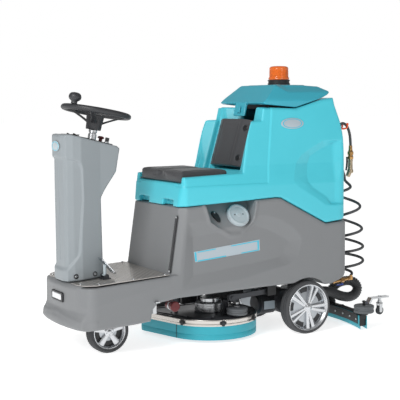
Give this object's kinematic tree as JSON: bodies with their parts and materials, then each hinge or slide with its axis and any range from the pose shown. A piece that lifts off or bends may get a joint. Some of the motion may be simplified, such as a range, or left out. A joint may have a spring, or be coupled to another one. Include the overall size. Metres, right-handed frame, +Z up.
{
  "type": "ride-on floor scrubber",
  "caption": "A ride-on floor scrubber dryer: a seat on a tilting water tank, a steering column, a round brush deck beneath, and a curved squeegee on castors behind.",
  "frame": {"origin": "floor level under the middle of the bounding box", "axes": "-Y is the driving direction, +X the driver's left, +Z up"},
  "size_m": [0.808, 1.8397, 1.412],
  "materials": {
    "shell_grey": "rotomoulded polyethylene, fine texture",
    "tank_teal": "rotomoulded polyethylene, satin",
    "cap_grey": "satin",
    "black_plastic": "fine grain",
    "cushion_black": "imitation leather, soft grain",
    "rubber_black": "matte",
    "tyre_black": "matte",
    "skirt_teal": "matte",
    "brush_teal": "bristles",
    "dark_steel": "powder coated",
    "bright_steel": "brushed",
    "checker_plate": "mill finish",
    "chrome_silver": "polished",
    "brass": "turned",
    "orange_plastic": "gloss",
    "lens_orange": "translucent, ribbed",
    "blue_plastic": "gloss",
    "red_plastic": "gloss",
    "clear_plastic": "clear"
  },
  "bodies": {
    "chassis": {"chassis_shell": "shell_grey", "headlight": "clear_plastic", "level_tube": "clear_plastic", "foot_plate": "checker_plate", "steering_cowl": "shell_grey", "dash_panel": "black_plastic", "transaxle": "black_plastic", "subframe": "dark_steel", "battery_pack": "black_plastic", "vacuum_motor": "black_plastic", "water_filter": "red_plastic", "deck_actuator": "dark_steel", "brass_valve": "brass", "tank_hinge_pin": "dark_steel", "spray_hose_coil": "rubber_black", "suction_hose": "rubber_black"},
    "filler_cap_body": {"filler_cap": "cap_grey"},
    "socket_cover_body": {"socket_cover": "black_plastic"},
    "pedal_body": {"pedal": "bright_steel"},
    "key": {"key_switch": "bright_steel"},
    "stop": {"stop_button": "red_plastic"},
    "direction_rocker": {"direction_switch": "black_plastic"},
    "lamp_rocker": {"lamp_switch": "black_plastic"},
    "wheel_and_shaft": {"steering_wheel": "black_plastic", "steering_shaft": "bright_steel"},
    "knob": {"spinner_knob": "black_plastic"},
    "fork": {"steering_fork": "dark_steel"},
    "front_wheel": {"front_tyre": "tyre_black", "front_rim": "chrome_silver"},
    "rear_wheel_left": {"rear_tyre_left": "tyre_black", "rear_rim_left": "chrome_silver"},
    "rear_wheel_right": {"rear_tyre_right": "tyre_black", "rear_rim_right": "chrome_silver"},
    "valve_lever": {"valve_handle": "blue_plastic"},
    "tank": {"recovery_tank": "tank_teal", "seat_cushion": "cushion_black", "backrest": "cushion_black", "hose_hook": "orange_plastic", "spray_gun": "bright_steel", "spray_hose_lead": "rubber_black"},
    "trigger": {"spray_trigger": "black_plastic"},
    "lid": {"tank_lid": "tank_teal", "beacon_base": "black_plastic", "beacon_lens": "lens_orange"},
    "deck": {"deck_plate": "dark_steel", "deck_skirt": "skirt_teal", "deck_band": "chrome_silver", "brush_motor": "bright_steel"},
    "brush_body": {"brush": "brush_teal"},
    "roller": {"guard_roller": "rubber_black"},
    "arms": {"lift_arms": "dark_steel"},
    "squeegee": {"squeegee_frame": "dark_steel", "squeegee_blade_rear": "skirt_teal", "squeegee_blade_front": "skirt_teal"},
    "end_roller_left": {"squeegee_roller_left": "rubber_black"},
    "end_roller_right": {"squeegee_roller_right": "rubber_black"},
    "castor_left": {"castor_fork_left": "bright_steel"},
    "castor_right": {"castor_fork_right": "bright_steel"},
    "castor_wheel_left_body": {"castor_wheel_left": "rubber_black"},
    "castor_wheel_right_body": {"castor_wheel_right": "rubber_black"}
  },
  "joints": [
    {"name": "steering_column", "type": "hinge", "parent": "chassis", "child": "wheel_and_shaft", "pos_m": [0, -0.674, 1.177], "axis": [0, 0.1908, 0.9816], "range_deg": [-84, 84]},
    {"name": "spinner_knob_turn", "type": "hinge", "parent": "wheel_and_shaft", "child": "knob", "pos_m": [0.06252, -0.81108, 1.24368], "axis": [0, 0.1908, 0.9816], "continuous": true},
    {"name": "fork_steer", "type": "hinge", "parent": "chassis", "child": "fork", "pos_m": [0, -0.745, 0.238], "axis": [0, 0, 1], "range_deg": [-42, 42]},
    {"name": "front_wheel_roll", "type": "hinge", "parent": "fork", "child": "front_wheel", "pos_m": [0.101, -0.678, 0.105], "axis": [1, 0, 0], "continuous": true},
    {"name": "rear_wheel_left_roll", "type": "hinge", "parent": "chassis", "child": "rear_wheel_left", "pos_m": [0.25, 0.401, 0.14], "axis": [1, 0, 0], "continuous": true},
    {"name": "rear_wheel_right_roll", "type": "hinge", "parent": "chassis", "child": "rear_wheel_right", "pos_m": [-0.25, 0.401, 0.14], "axis": [1, 0, 0], "continuous": true},
    {"name": "pedal_press", "type": "hinge", "parent": "chassis", "child": "pedal_body", "pos_m": [0.118, -0.694, 0.386], "axis": [1, 0, 0], "range_deg": [0, 15], "stiffness_Nm_per_rad": 6, "springref_deg": -11.46},
    {"name": "filler_cap_turn", "type": "hinge", "parent": "chassis", "child": "filler_cap_body", "pos_m": [0.22618, -0.005, 0.642], "axis": [0.8191, 0, 0.5736], "range_deg": [0, 90]},
    {"name": "socket_cover_swing", "type": "hinge", "parent": "chassis", "child": "socket_cover_body", "pos_m": [0.21547, -0.128, 0.6573], "axis": [0.8191, 0, 0.5736], "range_deg": [0, 110]},
    {"name": "key_turn", "type": "hinge", "parent": "chassis", "child": "key", "pos_m": [0.04, -0.64, 1.02628], "axis": [0, 0.2382, 0.9712], "range_deg": [-90, 0]},
    {"name": "stop_press", "type": "slide", "parent": "chassis", "child": "stop", "axis": [0, -0.2382, -0.9712], "range_m": [0, 0.006], "stiffness_N_per_m": 400, "springref_m": -0.002},
    {"name": "direction_rock", "type": "hinge", "parent": "chassis", "child": "direction_rocker", "pos_m": [0.04, -0.8, 1.06501], "axis": [1, 0, 0], "range_deg": [-8, 8]},
    {"name": "lamp_rock", "type": "hinge", "parent": "chassis", "child": "lamp_rocker", "pos_m": [-0.038, -0.8, 1.06501], "axis": [1, 0, 0], "range_deg": [-8, 8]},
    {"name": "valve_turn", "type": "hinge", "parent": "chassis", "child": "valve_lever", "pos_m": [0.17, 0.703, 0.222], "axis": [0, 0, 1], "range_deg": [0, 90]},
    {"name": "tank_tilt", "type": "hinge", "parent": "chassis", "child": "tank", "pos_m": [0, 0.674, 0.59], "axis": [-1, 0, 0], "range_deg": [0, 45], "deforming": ["spray_hose_coil"]},
    {"name": "trigger_squeeze", "type": "hinge", "parent": "tank", "child": "trigger", "pos_m": [0.17, 0.732, 0.915], "axis": [1, 0, 0], "range_deg": [0, 2.8], "stiffness_Nm_per_rad": 1.2, "springref_deg": -5.73},
    {"name": "lid_open", "type": "hinge", "parent": "tank", "child": "lid", "pos_m": [0, 0.592, 1.262], "axis": [-1, 0, 0], "range_deg": [0, 75]},
    {"name": "deck_lower", "type": "slide", "parent": "chassis", "child": "deck", "axis": [0, 0, -1], "range_m": [0, 0.016]},
    {"name": "brush_spin", "type": "hinge", "parent": "deck", "child": "brush_body", "pos_m": [0, -0.039, 0.06], "axis": [0, 0, 1], "continuous": true},
    {"name": "guard_roller_turn", "type": "hinge", "parent": "deck", "child": "roller", "pos_m": [0.204, 0.007, 0.152], "axis": [0, 0, 1], "continuous": true},
    {"name": "arms_follow", "type": "hinge", "parent": "chassis", "child": "arms", "pos_m": [0, 0.205, 0.238], "axis": [1, 0, 0], "range_deg": [0, 4.2]},
    {"name": "squeegee_lower", "type": "slide", "parent": "chassis", "child": "squeegee", "axis": [0, 0, -1], "range_m": [0, 0.0095]},
    {"name": "end_roller_left_turn", "type": "hinge", "parent": "squeegee", "child": "end_roller_left", "pos_m": [0.35, 0.7139, 0.1135], "axis": [0, 0, 1], "continuous": true},
    {"name": "end_roller_right_turn", "type": "hinge", "parent": "squeegee", "child": "end_roller_right", "pos_m": [-0.35, 0.7139, 0.1135], "axis": [0, 0, 1], "continuous": true},
    {"name": "castor_left_swivel", "type": "hinge", "parent": "squeegee", "child": "castor_left", "pos_m": [0.3, 0.861, 0.138], "axis": [0, 0, 1], "continuous": true},
    {"name": "castor_right_swivel", "type": "hinge", "parent": "squeegee", "child": "castor_right", "pos_m": [-0.3, 0.861, 0.138], "axis": [0, 0, 1], "continuous": true},
    {"name": "castor_left_roll", "type": "hinge", "parent": "castor_left", "child": "castor_wheel_left_body", "pos_m": [0.3, 0.861, 0.081], "axis": [1, 0, 0], "continuous": true},
    {"name": "castor_right_roll", "type": "hinge", "parent": "castor_right", "child": "castor_wheel_right_body", "pos_m": [-0.3, 0.861, 0.081], "axis": [1, 0, 0], "continuous": true}
  ],
  "couplings": [
    {"joint": "fork_steer", "follows": "steering_column", "ratio": 0.5},
    {"joint": "arms_follow", "follows": "deck_lower", "rad_per_m": 4.38}
  ]
}
